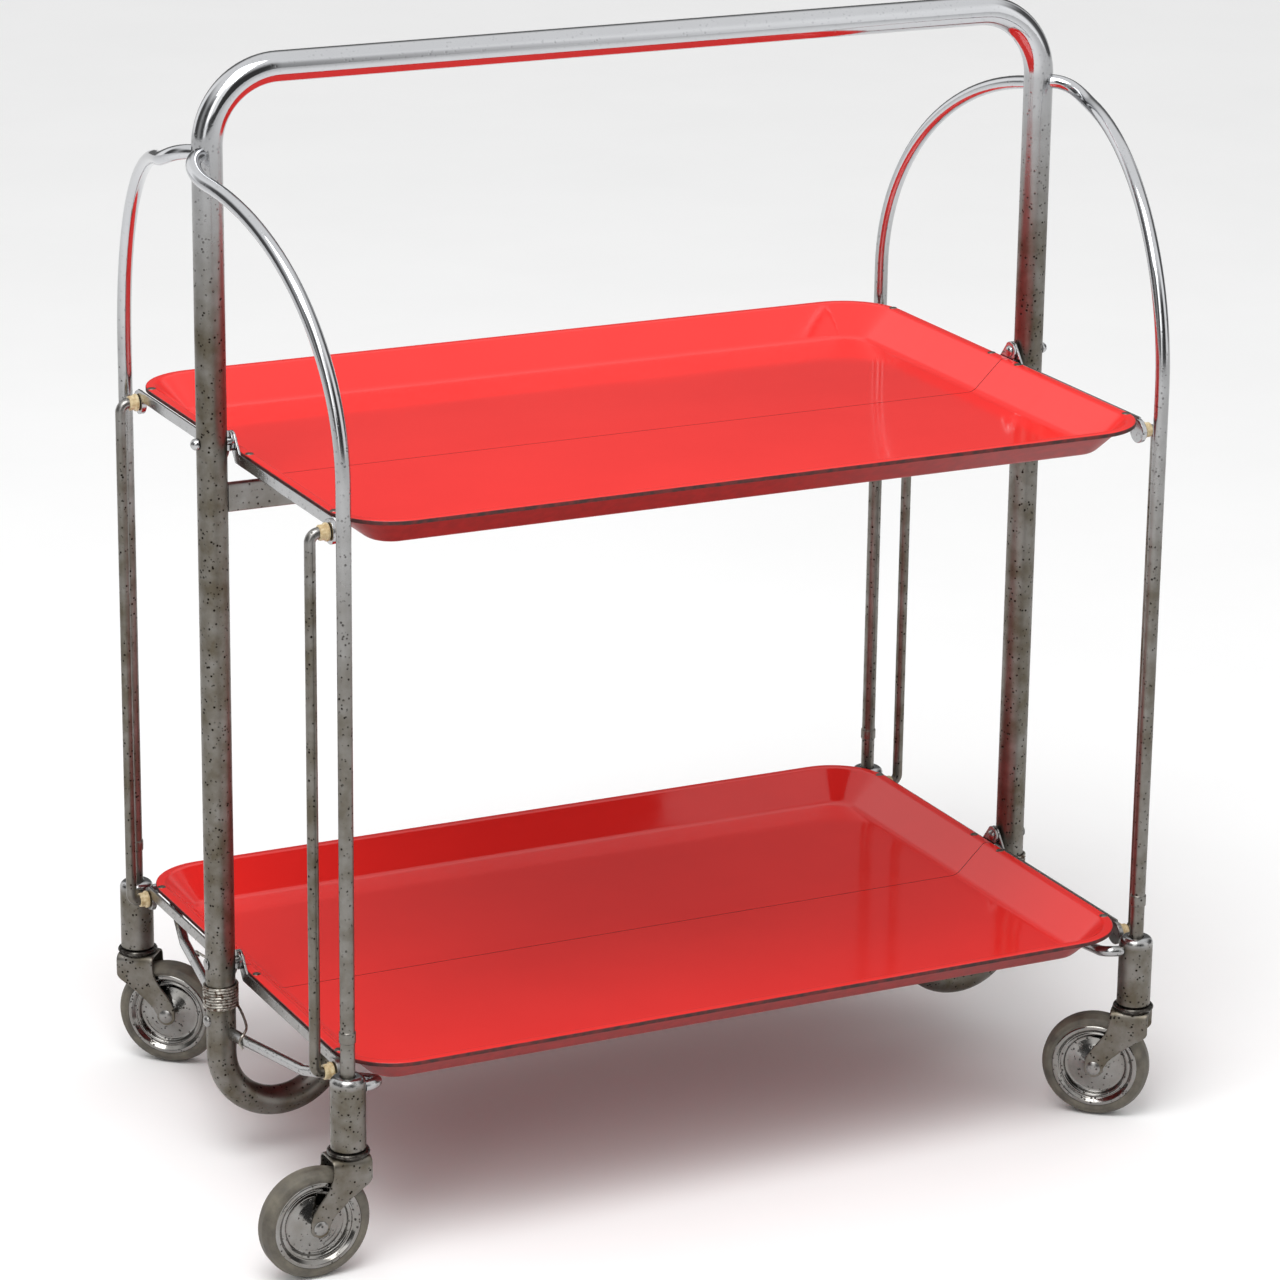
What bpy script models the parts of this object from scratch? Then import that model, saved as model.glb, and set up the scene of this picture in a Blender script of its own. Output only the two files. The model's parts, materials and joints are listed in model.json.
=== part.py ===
"""Folding two-tier serving trolley: tube frame, two split trays, four arched legs on castors.

Metres, +Z up, floor at Z = 0.  X runs along the handle, -Y is the front.
Each corner is described once, as (inboard, out, height): `inboard` is measured from the
upright's axis towards the middle of the trolley, `out` from the middle plane towards the corner.
"""
import math

import bmesh
import bpy
from mathutils import Matrix, Vector

# Driving dimensions
UPRIGHT_X = 0.316          # half the distance between the upright axes
HANDLE_TOP = 0.782
TUBE_R = 0.0104
TUBE_WALL = 0.0015
HANDLE_BEND_R = 0.050
HOOK_R = 0.043
HOOK_LOW = 0.038           # lowest point of the hook's centre line
GAP = 0.0003

TRAY_HALF_LENGTH = 0.300
TRAY_HALF_DEPTH = 0.206
TRAY_CORNER_R = 0.045
TRAY_SHEET = 0.0012
UPPER_RIM_Z = 0.5160
LOWER_RIM_Z = 0.1433
PIVOT_ABOVE_RIM = 0.005
PIN_R = 0.003
PIN_HOLE_R = 0.0033

RAIL_INNER = (0.3004, 0.3021)     # the two plate layers beside a tray's short side
RAIL_OUTER = (0.3024, 0.3041)
RAIL_DROP = (0.0015, 0.0090)      # top and bottom of the rail below the rim
BRACKET_OUT = 0.174
BRACKET_R = 0.0085
LINK_PIVOT_DROP = 0.011           # link rod's axis below the rim
LINK_R = 0.0038
LINK_X = -0.001                   # inboard place of the link rod

LEG_R = 0.0050
LEG_INBOARD = 0.012
LEG_OUT = 0.199
SLOT_Z = 0.718
KNEE = (-0.022, 0.019, 0.709)
ARCH_FOOT_Z = 0.540
FERRULE_Z = (0.162, 0.170)
FERRULE_R = 0.0057
SOCKET_R = 0.0120
SOCKET_Z = (0.0870, 0.1387)
SOCKET_BORE_Z = 0.118
BRACE_R = 0.0038
BRACE_FRONT_Z = 0.098
BRACE_BACK_Z = 0.110

SPRING_Z = (0.1160, 0.1322)
SPRING_TURNS = 5.5
SPRING_WIRE_R = 0.00125

WHEEL_R = 0.0385
TYRE_WIDTH = 0.018
TYRE_INNER_R = 0.0270
CASTOR_TRAIL = 0.025
AXLE_R = 0.0030
FORK_SLOT_HALF = 0.0104
FORK_HALF = 0.0125
CORNERS = {"front_left": (-1, -1), "front_right": (1, -1), "back_left": (-1, 1), "back_right": (1, 1)}
CASTOR_YAW = {"front_left": 180.0, "front_right": 140.0, "back_left": -40.0, "back_right": 0.0}

for old in list(bpy.data.objects):
    bpy.data.objects.remove(old, do_unlink=True)


def material(name, colour, metallic, roughness):
    """A plain Principled material."""
    mat = bpy.data.materials.new(name)
    mat.use_nodes = True
    shader = mat.node_tree.nodes["Principled BSDF"]
    shader.inputs["Base Color"].default_value = (*colour, 1.0)
    shader.inputs["Metallic"].default_value = metallic
    shader.inputs["Roughness"].default_value = roughness
    return mat


CHROME = material("chrome", (0.72, 0.72, 0.70), 1.0, 0.18)
WORN_CHROME = material("worn_chrome", (0.50, 0.48, 0.43), 1.0, 0.38)
RED_ENAMEL = material("red_enamel", (0.80, 0.03, 0.03), 0.0, 0.18)
SPRING_STEEL = material("spring_steel", (0.40, 0.38, 0.34), 1.0, 0.40)
TYRE_RUBBER = material("tyre_rubber", (0.06, 0.05, 0.045), 0.0, 0.70)
DARK_PLUG = material("dark_plug", (0.05, 0.05, 0.05), 0.0, 0.60)


def pivot_empty(name, place):
    """An empty that marks a joint; the pieces that turn about it are its children."""
    empty = bpy.data.objects.new(name, None)
    empty.location = place
    bpy.context.collection.objects.link(empty)
    return empty


def finish_piece(name, bm, mat, pivot=None, smooth_angle=40.0):
    """Make a mesh in world places into a named object whose origin is the pivot's place."""
    bmesh.ops.recalc_face_normals(bm, faces=bm.faces)
    if pivot is not None:
        bmesh.ops.translate(bm, verts=bm.verts, vec=-pivot.location)
    mesh = bpy.data.meshes.new(name)
    bm.to_mesh(mesh)
    bm.free()
    mesh.shade_smooth()
    mesh.set_sharp_from_angle(angle=math.radians(smooth_angle))
    mesh.materials.append(mat)
    piece = bpy.data.objects.new(name, mesh)
    bpy.context.collection.objects.link(piece)
    if pivot is not None:
        piece.parent = pivot
    return piece


def boolean(piece, cutter, operation):
    """Add an exact boolean to a piece and hide its cutter."""
    cutter.hide_render = True
    cutter.display_type = "WIRE"
    modifier = piece.modifiers.new(cutter.name, "BOOLEAN")
    modifier.operation = operation
    modifier.solver = "EXACT"
    modifier.object = cutter


def rounded_path(corners, radii, steps):
    """The points of an open path whose inner corners are replaced by arcs."""
    path = [Vector(corners[0])]
    for before, corner, after, radius in zip(corners, corners[1:], corners[2:], radii):
        corner = Vector(corner)
        towards_before = (Vector(before) - corner).normalized()
        towards_after = (Vector(after) - corner).normalized()
        half_angle = towards_before.angle(towards_after) / 2
        centre_way = (towards_before + towards_after).normalized()
        centre = corner + centre_way * (radius / math.sin(half_angle))
        reach = radius / math.tan(half_angle)
        start = corner + towards_before * reach - centre
        turn = math.pi - 2 * half_angle
        turn_axis = start.cross(corner + towards_after * reach - centre)
        for step in range(steps + 1):
            spin = Matrix.Rotation(turn * step / steps, 3, turn_axis)
            path.append(centre + spin @ start)
    path.append(Vector(corners[-1]))
    return path


def path_rings(bm, path, radii, sides):
    """Rings of vertices square to a path, with the ring's start direction carried along it."""
    first_way = (path[1] - path[0]).normalized()
    side_way = first_way.orthogonal().normalized()
    rings = []
    for index, (point, radius) in enumerate(zip(path, radii)):
        way_in = (point - path[index - 1]).normalized() if index else first_way
        way_out = (path[index + 1] - point).normalized() if index + 1 < len(path) else way_in
        way = (way_in + way_out).normalized()
        side_way = (side_way - way * side_way.dot(way)).normalized()
        other_way = way.cross(side_way)
        ring = []
        for side in range(sides):
            angle = math.tau * side / sides
            spoke = side_way * math.cos(angle) + other_way * math.sin(angle)
            ring.append(bm.verts.new(point + spoke * radius))
        rings.append(ring)
    return rings


def join_rings(bm, rings, closed=False):
    """Quads between each ring and the next one, and back to the first one if closed."""
    pairs = list(zip(rings, rings[1:]))
    if closed:
        pairs.append((rings[-1], rings[0]))
    for ring, following in pairs:
        count = len(ring)
        for side in range(count):
            after = (side + 1) % count
            bm.faces.new((ring[side], ring[after], following[after], following[side]))


def rod(path, radii, sides):
    """A solid round rod along a path; radii is one radius or one for each point."""
    if isinstance(radii, float):
        radii = [radii] * len(path)
    bm = bmesh.new()
    rings = path_rings(bm, path, radii, sides)
    join_rings(bm, rings)
    bm.faces.new(rings[0])
    bm.faces.new(rings[-1])
    return bm


def turned(profile, sides, place, axis="Z"):
    """A solid of revolution from (radius, height) points; points of radius 0 become poles."""
    bm = bmesh.new()
    rings = []
    for radius, height in profile:
        if radius == 0:
            rings.append([bm.verts.new((0, 0, height))])
            continue
        angles = [math.tau * side / sides for side in range(sides)]
        rings.append([bm.verts.new((radius * math.cos(a), radius * math.sin(a), height)) for a in angles])
    is_ring_shaped = all(len(ring) > 1 for ring in rings)
    pairs = list(zip(rings, rings[1:]))
    if is_ring_shaped:
        pairs.append((rings[-1], rings[0]))
    for ring, following in pairs:
        for side in range(sides):
            after = (side + 1) % sides
            if len(ring) == 1:
                bm.faces.new((ring[0], following[after], following[side]))
            elif len(following) == 1:
                bm.faces.new((ring[side], ring[after], following[0]))
            else:
                bm.faces.new((ring[side], ring[after], following[after], following[side]))
    if axis == "X":
        bmesh.ops.rotate(bm, verts=bm.verts, cent=(0, 0, 0), matrix=Matrix.Rotation(math.pi / 2, 3, "Y"))
    if axis == "Y":
        bmesh.ops.rotate(bm, verts=bm.verts, cent=(0, 0, 0), matrix=Matrix.Rotation(math.pi / 2, 3, "X"))
    bmesh.ops.translate(bm, verts=bm.verts, vec=place)
    return bm


def prism(outline, start, end):
    """A flat outline (closed list of points) extruded from the start vector to the end vector."""
    bm = bmesh.new()
    near = [bm.verts.new(Vector(point) + Vector(start)) for point in outline]
    far = [bm.verts.new(Vector(point) + Vector(end)) for point in outline]
    join_rings(bm, [near, far])
    bm.faces.new(near)
    bm.faces.new(far)
    return bm


def at_corner(corner, inboard, out, height):
    """World place of a point given as (inboard, out, height) at one corner."""
    side_x, side_y = CORNERS[corner]
    return Vector((side_x * (UPRIGHT_X - inboard), side_y * out, height))


def arc_points(centre, radius, start, end, steps):
    """Points (u, v) on an arc, angles in degrees."""
    angles = [math.radians(start + (end - start) * step / steps) for step in range(steps + 1)]
    return [(centre[0] + radius * math.cos(a), centre[1] + radius * math.sin(a)) for a in angles]


# Empties on the upright axes and on the tray pins
leg_pivots = {}
for corner, (side_x, side_y) in CORNERS.items():
    leg_pivots[corner] = pivot_empty("leg_pivot_" + corner, (side_x * UPRIGHT_X, 0, SLOT_Z))
tray_pivots = {}
for level, rim_z in (("upper", UPPER_RIM_Z), ("lower", LOWER_RIM_Z)):
    for half in ("front", "back"):
        tray_pivots[level, half] = pivot_empty(f"tray_pivot_{level}_{half}", (0, 0, rim_z + PIVOT_ABOVE_RIM))


# Centre frame: one bent tube, hooked inboard at both feet
def slot_cutter(name, corner, height, half_height, from_deg, to_deg):
    """A wedge that opens the tube wall where a rod enters it; 0 degrees is straight out."""
    side_x, side_y = CORNERS[corner]
    outline = [(side_x * UPRIGHT_X, 0, 0)]
    for inboard, out in arc_points((0, 0), 0.016, 90 - from_deg, 90 - to_deg, 8):
        outline.append((side_x * (UPRIGHT_X - inboard), side_y * out, 0))
    cutter = prism(outline, (0, 0, height - half_height), (0, 0, height + half_height))
    return finish_piece(name, cutter, DARK_PLUG)


def build_centre_frame():
    """The tube, its two end plugs and the slots and holes in its wall."""
    bar_z = HANDLE_TOP - TUBE_R
    hook_end = (UPRIGHT_X - 2 * HOOK_R, 0, HOOK_LOW + HOOK_R + 0.012)
    corners = [
        (-hook_end[0], 0, hook_end[2]),
        (-hook_end[0], 0, HOOK_LOW),
        (-UPRIGHT_X, 0, HOOK_LOW),
        (-UPRIGHT_X, 0, bar_z),
        (UPRIGHT_X, 0, bar_z),
        (UPRIGHT_X, 0, HOOK_LOW),
        (hook_end[0], 0, HOOK_LOW),
        hook_end,
    ]
    hook_bend = HOOK_R - 0.00005
    radii = [hook_bend, hook_bend, HANDLE_BEND_R, HANDLE_BEND_R, hook_bend, hook_bend]
    path = rounded_path(corners, radii, 6)
    bm = bmesh.new()
    outer = path_rings(bm, path, [TUBE_R] * len(path), 12)
    inner = path_rings(bm, path, [TUBE_R - TUBE_WALL] * len(path), 12)
    join_rings(bm, outer)
    join_rings(bm, inner)
    join_rings(bm, [outer[0], inner[0]])
    join_rings(bm, [outer[-1], inner[-1]])
    frame = finish_piece("centre_frame", bm, CHROME)
    for corner in CORNERS:
        is_front = corner.startswith("front")
        arch_slot = slot_cutter("arch_slot_" + corner, corner, SLOT_Z, LEG_R + GAP, -82, 50)
        boolean(frame, arch_slot, "DIFFERENCE")
        brace_z = BRACE_FRONT_Z if is_front else BRACE_BACK_Z
        brace_slot = slot_cutter("brace_slot_" + corner, corner, brace_z, BRACE_R + GAP, -24, 100)
        boolean(frame, brace_slot, "DIFFERENCE")
    for level, rim_z in (("upper", UPPER_RIM_Z), ("lower", LOWER_RIM_Z)):
        for side, side_x in (("left", -1), ("right", 1)):
            hole = turned([(0, -0.02), (PIN_HOLE_R, -0.02), (PIN_HOLE_R, 0.02), (0, 0.02)], 12,
                          (side_x * UPRIGHT_X, 0, rim_z + PIVOT_ABOVE_RIM), "X")
            boolean(frame, finish_piece(f"pin_hole_{level}_{side}", hole, DARK_PLUG), "DIFFERENCE")
    plug_r = (TUBE_R - TUBE_WALL) * math.cos(math.pi / 12) - GAP
    for side, side_x in (("left", -1), ("right", 1)):
        profile = [(0, -0.010), (plug_r, -0.010), (plug_r, GAP), (TUBE_R - 0.0006, GAP), (0.006, 0.0022),
                   (0, 0.0026)]
        plug = turned(profile, 12, (side_x * hook_end[0], 0, hook_end[2]))
        finish_piece("frame_plug_" + side, plug, DARK_PLUG)
    bar_top = UPPER_RIM_Z - 0.0240
    half_bar = UPRIGHT_X - TUBE_R - GAP
    bar = prism([(-half_bar, -0.0025, 0), (half_bar, -0.0025, 0), (half_bar, 0.0025, 0),
                 (-half_bar, 0.0025, 0)],
                (0, 0, bar_top - 0.020), (0, 0, bar_top))
    finish_piece("cross_bar", bar, WORN_CHROME)


# Trays: each half is a pressed sheet with a curled lip, open along the seam
TRAY_TOP_PROFILE = [(0.0, -0.0030), (0.0, -0.0006), (0.0009, 0.0), (0.0050, 0.0), (0.0075, -0.0012),
                    (0.0270, -0.0195), (0.0320, -0.0220)]
TRAY_UNDER_PROFILE = [(TRAY_SHEET, -0.0030), (TRAY_SHEET, -0.0018), (0.0016, -0.0012), (0.0046, -0.0012),
                      (0.0066, -0.0022), (0.0262, -0.0207), (0.0318, -0.0232)]


def tray_outline(inset, side_y):
    """Plan points of a half tray's edge moved in by `inset`, from seam to seam."""
    half_length = TRAY_HALF_LENGTH - inset
    half_depth = TRAY_HALF_DEPTH - inset
    radius = TRAY_CORNER_R - inset
    points = [(-half_length, GAP), (-half_length, (half_depth - radius) / 2)]
    points += arc_points((-half_length + radius, half_depth - radius), radius, 180, 90, 6)
    points += arc_points((half_length - radius, half_depth - radius), radius, 90, 0, 6)
    points += [(half_length, (half_depth - radius) / 2), (half_length, GAP)]
    return [(x, side_y * out) for x, out in points]


def build_tray_half(level, half, rim_z):
    """A closed thin shell: top sheet, under sheet and the walls between their edges."""
    side_y = -1 if half == "front" else 1
    bm = bmesh.new()
    sheets = []
    for profile in (TRAY_TOP_PROFILE, TRAY_UNDER_PROFILE):
        rows = []
        for inset, drop in profile:
            rows.append([bm.verts.new((x, y, rim_z + drop)) for x, y in tray_outline(inset, side_y)])
        for row, following in zip(rows, rows[1:]):
            for index in range(len(row) - 1):
                bm.faces.new((row[index], row[index + 1], following[index + 1], following[index]))
        bm.faces.new(rows[-1])
        sheets.append(rows)
    top, under = sheets
    for index in range(len(top[0]) - 1):
        bm.faces.new((top[0][index], top[0][index + 1], under[0][index + 1], under[0][index]))
    for end in (0, -1):
        for level_index in range(len(top) - 1):
            bm.faces.new((top[level_index][end], top[level_index + 1][end],
                          under[level_index + 1][end], under[level_index][end]))
    bm.faces.new((top[-1][0], top[-1][-1], under[-1][-1], under[-1][0]))
    finish_piece(f"{level}_tray_{half}", bm, RED_ENAMEL, tray_pivots[level, half])


def build_side_rail(level, corner, rim_z):
    """A rail with its hinge leaf on the pin and its bracket at the outer corner."""
    side_x, side_y = CORNERS[corner]
    half = corner.split("_")[0]
    pivot = tray_pivots[level, half]
    is_outer = corner in ("back_left", "front_right")
    layer = RAIL_OUTER if is_outer else RAIL_INNER
    leaf_r = 0.007
    outline = arc_points((0, PIVOT_ABOVE_RIM), leaf_r, 60, 250, 7)
    outline += [(0.010, -RAIL_DROP[1]), (BRACKET_OUT, -RAIL_DROP[1]), (BRACKET_OUT, -RAIL_DROP[0])]
    outline += [(0.014, -RAIL_DROP[0])]
    points = [(0, side_y * out, rim_z + drop) for out, drop in outline]
    plate = prism(points, (side_x * layer[0], 0, 0), (side_x * layer[1], 0, 0))
    rail = finish_piece(f"{level}_rail_{corner}", plate, CHROME, pivot)
    bracket_points = arc_points((BRACKET_OUT, -LINK_PIVOT_DROP), BRACKET_R, 0, 330, 11)
    bracket_points = [(0, side_y * out, rim_z + drop) for out, drop in bracket_points]
    bracket = prism(bracket_points, (side_x * RAIL_INNER[0], 0, 0), (side_x * RAIL_OUTER[1], 0, 0))
    boolean(rail, finish_piece(f"bracket_of_{level}_{corner}", bracket, CHROME, pivot), "UNION")
    hole = turned([(0, -0.01), (PIN_HOLE_R, -0.01), (PIN_HOLE_R, 0.01), (0, 0.01)], 12,
                  (side_x * RAIL_INNER[1], 0, rim_z + PIVOT_ABOVE_RIM), "X")
    boolean(rail, finish_piece(f"leaf_hole_{level}_{corner}", hole, DARK_PLUG), "DIFFERENCE")


def build_hinge_pin(level, side_x, rim_z):
    """The bolt through the upright that both halves turn on, its dome head outboard."""
    head_face = UPRIGHT_X + TUBE_R + GAP
    inner_end = RAIL_INNER[0]
    length = head_face - inner_end
    profile = [(0, 0), (PIN_R, 0), (PIN_R, length), (0.0046, length), (0.0043, length + 0.0020),
               (0.0028, length + 0.0038), (0, length + 0.0044)]
    pin = turned([(radius, side_x * height) for radius, height in profile], 12,
                 (side_x * inner_end, 0, rim_z + PIVOT_ABOVE_RIM), "X")
    finish_piece(f"{level}_hinge_bolt_" + ("left" if side_x < 0 else "right"), pin, CHROME)


# Arched legs, sockets and braces hang on the uprights; the link rods join the two trays
def build_link_rod(corner):
    """A straight rod with both ends bent inboard to the tray brackets."""
    end_inboard = UPRIGHT_X - RAIL_OUTER[1] - GAP
    top_z = UPPER_RIM_Z - LINK_PIVOT_DROP
    bottom_z = LOWER_RIM_Z - LINK_PIVOT_DROP
    side_x, side_y = CORNERS[corner]
    pivot = pivot_empty("link_pivot_" + corner, (side_x * RAIL_OUTER[1], side_y * BRACKET_OUT, top_z))
    corners = [at_corner(corner, inboard, BRACKET_OUT, height) for inboard, height in (
        (end_inboard, top_z), (LINK_X, top_z), (LINK_X, bottom_z), (end_inboard, bottom_z))]
    path = rounded_path(corners, [0.006, 0.006], 3)
    finish_piece("link_rod_" + corner, rod(path, LINK_R, 8), WORN_CHROME, pivot)


def leg_route(corner):
    """Path and radii of an arched leg: slot, knee, quarter-ellipse arch, straight leg, ferrule."""
    knee_inboard, knee_out, knee_z = KNEE
    reach = math.hypot(knee_inboard, knee_out)
    start = 0.0083
    route = [(knee_inboard * start / reach, knee_out * start / reach, SLOT_Z)]
    route.append((knee_inboard * 0.48, knee_out * 0.48, SLOT_Z))
    route.append((knee_inboard * 0.80, knee_out * 0.76, SLOT_Z - 0.002))
    steps = 12
    for step in range(steps + 1):
        angle = math.pi / 2 * (1 - step / steps)
        out = knee_out + (LEG_OUT - knee_out) * math.cos(angle)
        share = (out - knee_out) / (LEG_OUT - knee_out)
        inboard = knee_inboard + (LEG_INBOARD - knee_inboard) * share
        route.append((inboard, out, ARCH_FOOT_Z + (knee_z - ARCH_FOOT_Z) * math.sin(angle)))
    radii = [LEG_R] * len(route)
    low, high = FERRULE_Z
    for height, radius in ((high, LEG_R), (high - 0.0005, FERRULE_R), (low + 0.0005, FERRULE_R),
                           (low, LEG_R), (SOCKET_BORE_Z + GAP, LEG_R)):
        route.append((LEG_INBOARD, LEG_OUT, height))
        radii.append(radius)
    return [at_corner(corner, *point) for point in route], radii


def build_leg(corner):
    """The leg, its socket and the lower brace."""
    pivot = leg_pivots[corner]
    path, radii = leg_route(corner)
    finish_piece("arched_leg_" + corner, rod(path, radii, 8), CHROME, pivot)
    low, high = SOCKET_Z
    bore = LEG_R + GAP
    profile = [(0, low), (0.0110, low), (SOCKET_R, low + 0.0010), (SOCKET_R, high - 0.0045),
               (0.0108, high - 0.0012), (0.0085, high), (bore, high), (bore, SOCKET_BORE_Z),
               (0, SOCKET_BORE_Z)]
    foot = at_corner(corner, LEG_INBOARD, LEG_OUT, 0)
    finish_piece("socket_" + corner, turned(profile, 12, foot), WORN_CHROME, pivot)
    attach_z = BRACE_FRONT_Z if corner.startswith("front") else BRACE_BACK_Z
    socket_side = LEG_INBOARD + SOCKET_R + GAP
    corners = [at_corner(corner, *point) for point in (
        (socket_side, LEG_OUT, 0.1290), (LEG_INBOARD + 0.026, LEG_OUT, 0.1300),
        (0.016, 0.112, attach_z + 0.010), (0.0031, 0.0090, attach_z))]
    brace = rod(rounded_path(corners, [0.009, 0.025], 4), BRACE_R, 8)
    finish_piece("brace_" + corner, brace, WORN_CHROME, pivot)


def build_spring(side_x):
    """The torsion spring wound round the foot of an upright."""
    coil_r = TUBE_R + SPRING_WIRE_R + GAP
    steps = round(SPRING_TURNS * 12)
    path = []
    for step in range(steps + 1):
        angle = math.tau * SPRING_TURNS * step / steps
        height = SPRING_Z[0] + (SPRING_Z[1] - SPRING_Z[0]) * step / steps
        place = (side_x * (UPRIGHT_X + coil_r * math.cos(angle)), coil_r * math.sin(angle), height)
        path.append(Vector(place))
    finish_piece("spring_" + ("left" if side_x < 0 else "right"), rod(path, SPRING_WIRE_R, 5), SPRING_STEEL)


# Castors: a fork that swivels in the socket and a wheel on its axle
def build_castor(corner):
    """Fork, axle, tyre and wheel disc of one castor, modelled trailing along +X, then turned."""
    side_x, side_y = CORNERS[corner]
    foot = at_corner(corner, LEG_INBOARD, LEG_OUT, 0)
    axle_place = Vector((CASTOR_TRAIL, 0, WHEEL_R))
    yaw = Matrix.Rotation(math.radians(CASTOR_YAW[corner]), 4, "Z")
    swivel = pivot_empty("swivel_" + corner, foot)
    wheel_spin = pivot_empty("wheel_axis_" + corner, foot + yaw @ axle_place)

    def place(bm):
        bmesh.ops.transform(bm, verts=bm.verts, matrix=Matrix.Translation(foot) @ yaw)
        return bm

    crown_top = 0.0836
    boss = arc_points((CASTOR_TRAIL, WHEEL_R), 0.0070, 195, 385, 7)
    outline = [(-0.0125, crown_top), (-0.0125, 0.0770), (-0.0020, 0.0640)] + boss
    outline += [(0.0190, 0.0700), (0.0150, crown_top)]
    points = [(along, 0, height) for along, height in outline]
    cheeks = place(prism(points, (0, -FORK_HALF, 0), (0, FORK_HALF, 0)))
    fork = finish_piece("fork_" + corner, cheeks, WORN_CHROME, swivel)
    slot = [(-0.03, 0, 0.0), (0.06, 0, 0.0), (0.06, 0, 0.0795), (-0.03, 0, 0.0795)]
    cutter = place(prism(slot, (0, -FORK_SLOT_HALF, 0), (0, FORK_SLOT_HALF, 0)))
    boolean(fork, finish_piece("fork_slot_" + corner, cutter, DARK_PLUG, swivel), "DIFFERENCE")
    hole = turned([(0, -0.02), (AXLE_R + GAP, -0.02), (AXLE_R + GAP, 0.02), (0, 0.02)], 10, axle_place, "Y")
    boolean(fork, finish_piece("axle_hole_" + corner, place(hole), DARK_PLUG, swivel), "DIFFERENCE")
    cup_top = SOCKET_Z[0] - GAP
    cup = turned([(0, crown_top - 0.002), (0.0118, crown_top - 0.002), (0.0135, cup_top - 0.0008),
                  (0.0125, cup_top), (0, cup_top)], 12, (0, 0, 0))
    boolean(fork, finish_piece("swivel_cup_" + corner, place(cup), WORN_CHROME, swivel), "UNION")

    head = FORK_HALF + GAP
    axle_profile = [(0, -head - 0.0014), (0.0036, -head - 0.0010), (0.0050, -head), (AXLE_R, -head),
                    (AXLE_R, head), (0.0050, head), (0.0036, head + 0.0010), (0, head + 0.0014)]
    finish_piece("axle_" + corner, place(turned(axle_profile, 10, axle_place, "Y")), CHROME, swivel)

    half_tyre = TYRE_WIDTH / 2
    tyre_profile = [(TYRE_INNER_R, -half_tyre + 0.0015), (0.0335, -half_tyre), (0.0368, -0.0060),
                    (WHEEL_R, -0.0022), (WHEEL_R, 0.0022), (0.0368, 0.0060), (0.0335, half_tyre),
                    (TYRE_INNER_R, half_tyre - 0.0015)]
    finish_piece("tyre_" + corner, place(turned(tyre_profile, 20, axle_place, "Y")), TYRE_RUBBER, wheel_spin)
    disc_r = TYRE_INNER_R - GAP
    bore = AXLE_R + GAP
    disc_profile = [(bore, -0.0098), (0.0080, -0.0098), (0.0110, -0.0060), (disc_r, -0.0068),
                    (disc_r, 0.0068), (0.0110, 0.0060), (0.0080, 0.0098), (bore, 0.0098)]
    disc = place(turned(disc_profile, 20, axle_place, "Y"))
    finish_piece("wheel_disc_" + corner, disc, WORN_CHROME, wheel_spin)


build_centre_frame()
for level, rim_z in (("upper", UPPER_RIM_Z), ("lower", LOWER_RIM_Z)):
    for half in ("front", "back"):
        build_tray_half(level, half, rim_z)
    for corner in CORNERS:
        build_side_rail(level, corner, rim_z)
    for side_x in (-1, 1):
        build_hinge_pin(level, side_x, rim_z)
for corner in CORNERS:
    build_link_rod(corner)
    build_leg(corner)
    build_castor(corner)
for side_x in (-1, 1):
    build_spring(side_x)
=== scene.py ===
import json
import math

import bmesh
import bpy
import numpy as np
from mathutils import Matrix, Vector

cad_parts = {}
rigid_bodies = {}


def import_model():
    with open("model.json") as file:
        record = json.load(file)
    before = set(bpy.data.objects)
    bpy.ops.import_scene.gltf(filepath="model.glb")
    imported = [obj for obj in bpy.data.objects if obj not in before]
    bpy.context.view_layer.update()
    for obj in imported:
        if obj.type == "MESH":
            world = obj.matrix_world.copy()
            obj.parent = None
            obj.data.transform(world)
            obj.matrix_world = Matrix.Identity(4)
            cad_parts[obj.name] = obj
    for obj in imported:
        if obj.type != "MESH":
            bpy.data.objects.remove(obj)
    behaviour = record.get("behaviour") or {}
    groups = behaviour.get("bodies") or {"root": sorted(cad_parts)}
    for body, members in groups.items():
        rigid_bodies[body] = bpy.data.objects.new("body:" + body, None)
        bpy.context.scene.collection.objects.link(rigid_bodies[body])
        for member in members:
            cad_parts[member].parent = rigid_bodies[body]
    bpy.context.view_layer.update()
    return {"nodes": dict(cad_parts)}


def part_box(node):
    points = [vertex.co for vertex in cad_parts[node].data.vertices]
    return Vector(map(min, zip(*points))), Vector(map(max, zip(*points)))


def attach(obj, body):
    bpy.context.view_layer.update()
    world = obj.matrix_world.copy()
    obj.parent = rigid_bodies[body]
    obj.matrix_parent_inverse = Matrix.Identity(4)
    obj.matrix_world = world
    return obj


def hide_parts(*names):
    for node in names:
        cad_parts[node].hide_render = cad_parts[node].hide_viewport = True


for leftover in list(bpy.data.objects):
    bpy.data.objects.remove(leftover, do_unlink=True)
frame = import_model()

# Studio: a broad soft lamp high on the left, a weaker one in front, and grey and white panels all round.
# The panels are bands of grey in the sky, which give the plated rods their dark and light lines.
EYE = Vector((-1.4081, -2.8527, 1.3664))
LOOK_YAW = math.radians(26.354)
LOOK_PITCH = math.radians(-17.863)
LOOK_ROLL = math.radians(0.714)
LENS_MM = 132.8

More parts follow.
